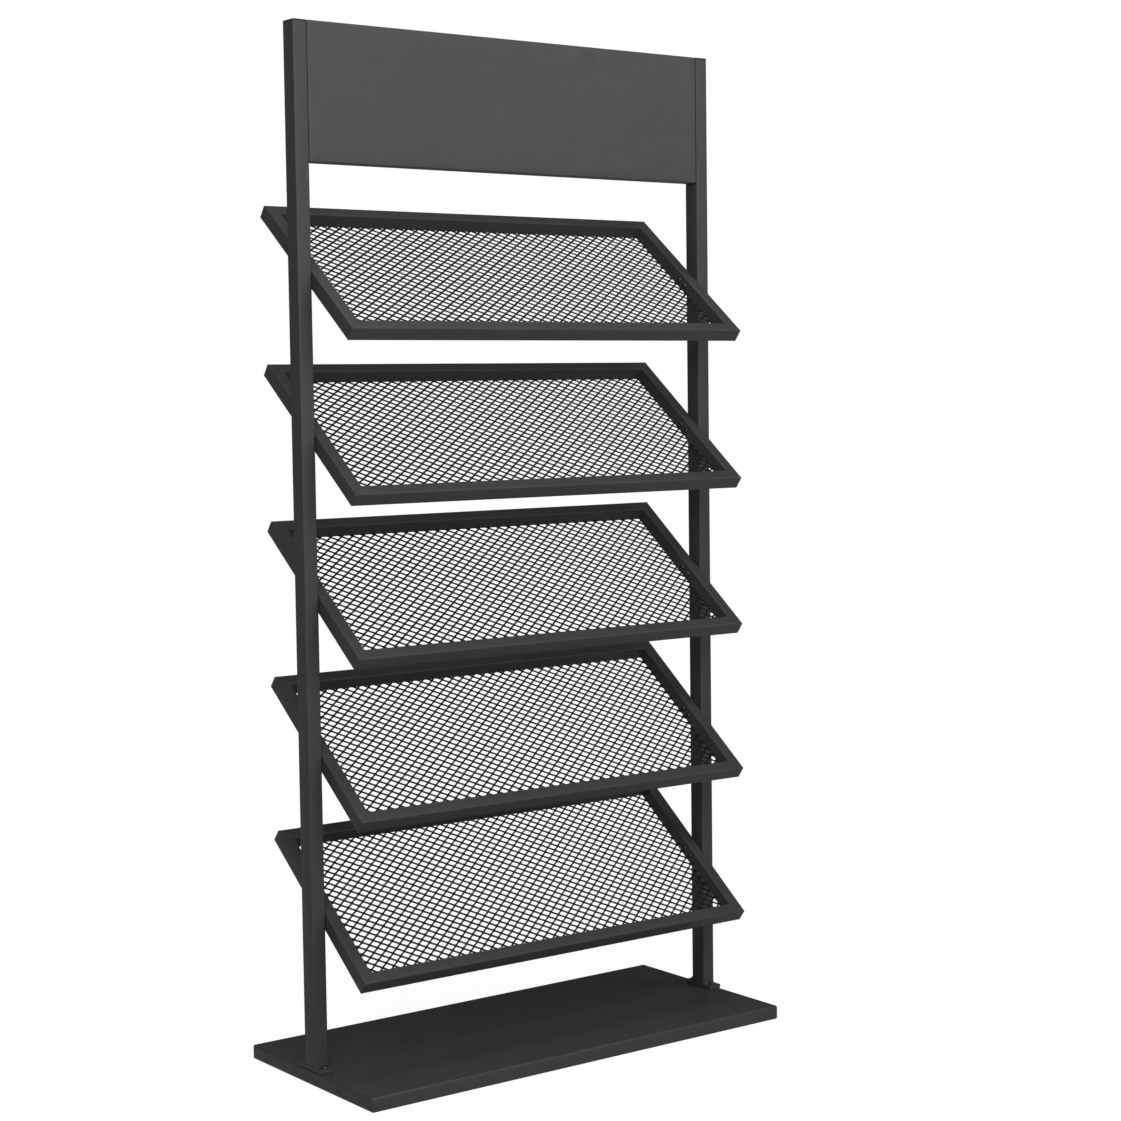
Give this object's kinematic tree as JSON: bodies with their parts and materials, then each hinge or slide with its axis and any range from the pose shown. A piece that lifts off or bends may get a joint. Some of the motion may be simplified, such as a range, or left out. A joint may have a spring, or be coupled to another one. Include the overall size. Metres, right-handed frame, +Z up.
{
  "type": "newspaper rack",
  "caption": "Floor-standing rack with sloping mesh trays bolted between square-cut posts, a flat sheet-metal base and a plain sign panel across the top.",
  "frame": {"origin": "on the floor below the middle of the rack, at the centre of the base's footprint", "axes": "+Z up, +X to the right of a person facing the front, -Y towards the front"},
  "size_m": [0.7456, 0.334, 1.502],
  "materials": {
    "coated_steel": "fine-grained charcoal powder coat, satin",
    "sign_steel": "fine-grained charcoal powder coat, satin",
    "mesh_steel": "black powder coat on expanded metal",
    "cap_plastic": "moulded black polyethylene with a light grain",
    "screw_steel": "black zinc plate"
  },
  "bodies": {
    "root": {"base_tray": "coated_steel", "left_post": "coated_steel", "left_post_cap": "cap_plastic", "left_foot_bolt_front": "screw_steel", "left_foot_bolt_back": "screw_steel", "right_post": "coated_steel", "right_post_cap": "cap_plastic", "right_foot_bolt_front": "screw_steel", "right_foot_bolt_back": "screw_steel", "sign_panel": "sign_steel", "sign_screw_left_lower": "screw_steel", "sign_screw_left_upper": "screw_steel", "sign_screw_right_lower": "screw_steel", "sign_screw_right_upper": "screw_steel", "shelf_1_front_bar": "coated_steel", "shelf_1_back_bar": "coated_steel", "shelf_1_left_bar": "coated_steel", "shelf_1_right_bar": "coated_steel", "shelf_1_mesh": "mesh_steel", "shelf_1_left_screw_front": "screw_steel", "shelf_1_left_screw_back": "screw_steel", "shelf_1_right_screw_front": "screw_steel", "shelf_1_right_screw_back": "screw_steel", "shelf_2_front_bar": "coated_steel", "shelf_2_back_bar": "coated_steel", "shelf_2_left_bar": "coated_steel", "shelf_2_right_bar": "coated_steel", "shelf_2_mesh": "mesh_steel", "shelf_2_left_screw_front": "screw_steel", "shelf_2_left_screw_back": "screw_steel", "shelf_2_right_screw_front": "screw_steel", "shelf_2_right_screw_back": "screw_steel", "shelf_3_front_bar": "coated_steel", "shelf_3_back_bar": "coated_steel", "shelf_3_left_bar": "coated_steel", "shelf_3_right_bar": "coated_steel", "shelf_3_mesh": "mesh_steel", "shelf_3_left_screw_front": "screw_steel", "shelf_3_left_screw_back": "screw_steel", "shelf_3_right_screw_front": "screw_steel", "shelf_3_right_screw_back": "screw_steel", "shelf_4_front_bar": "coated_steel", "shelf_4_back_bar": "coated_steel", "shelf_4_left_bar": "coated_steel", "shelf_4_right_bar": "coated_steel", "shelf_4_mesh": "mesh_steel", "shelf_4_left_screw_front": "screw_steel", "shelf_4_left_screw_back": "screw_steel", "shelf_4_right_screw_front": "screw_steel", "shelf_4_right_screw_back": "screw_steel", "shelf_5_front_bar": "coated_steel", "shelf_5_back_bar": "coated_steel", "shelf_5_left_bar": "coated_steel", "shelf_5_right_bar": "coated_steel", "shelf_5_mesh": "mesh_steel", "shelf_5_left_screw_front": "screw_steel", "shelf_5_left_screw_back": "screw_steel", "shelf_5_right_screw_front": "screw_steel", "shelf_5_right_screw_back": "screw_steel"}
  },
  "joints": []
}
